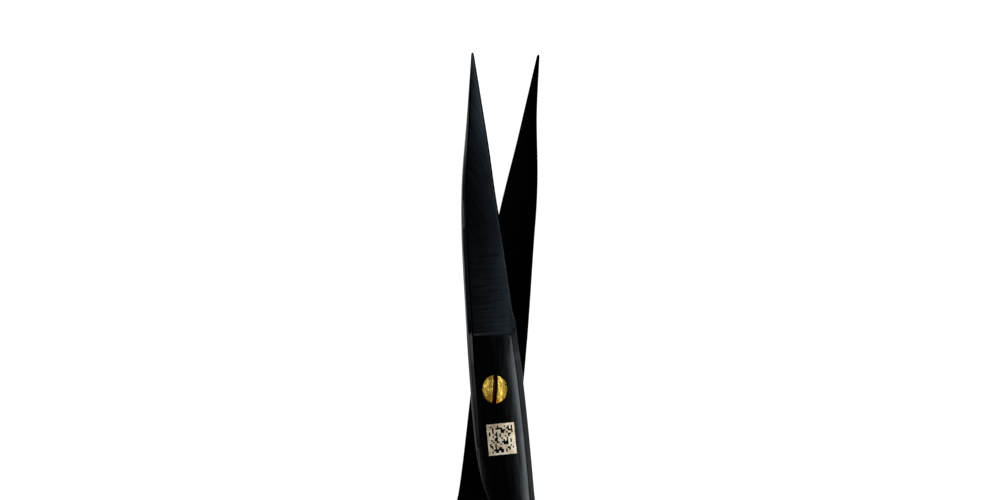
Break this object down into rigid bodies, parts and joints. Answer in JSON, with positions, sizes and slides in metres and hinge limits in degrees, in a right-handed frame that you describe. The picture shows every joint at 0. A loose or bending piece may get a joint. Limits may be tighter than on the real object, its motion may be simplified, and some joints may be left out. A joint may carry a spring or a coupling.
{
  "type": "hair-cutting shears",
  "caption": "Slim black hair-cutting shears with plain pointed blades, a slotted pivot screw, lined finger rings, a bumper and a little-finger rest.",
  "frame": {"origin": "middle of the lock nut's flat face, on the pivot axis, in the plane that the shears lie on", "axes": "+Z along the pivot axis towards the slotted screw head, +Y towards the blade tips on the line midway between the blades, +X towards the thumb ring's side"},
  "size_m": [0.0879, 0.1458, 0.0052],
  "materials": {
    "black_steel": "black coated steel, ground and brushed, satin",
    "gold_metal": "gold coloured, turned and brushed, slightly worn",
    "washer_plastic": "plain low-friction washer",
    "spring_steel": "plain spring steel",
    "black_rubber": "soft matt silicone rubber"
  },
  "bodies": {
    "rear_body": {"rear_half": "black_steel", "finger_ring_insert": "black_rubber", "bumper": "black_rubber", "finger_rest": "black_steel", "pivot_screw": "gold_metal", "lock_nut": "gold_metal", "spring_washer": "spring_steel", "glide_washer": "washer_plastic"},
    "front_body": {"front_half": "black_steel", "thumb_ring_insert": "black_rubber"}
  },
  "joints": [
    {"name": "blade_pivot", "type": "hinge", "parent": "rear_body", "child": "front_body", "pos_m": [0, 0, 0.0026], "axis": [0, 0, 1], "range_deg": [-11.25, 78.75]}
  ]
}
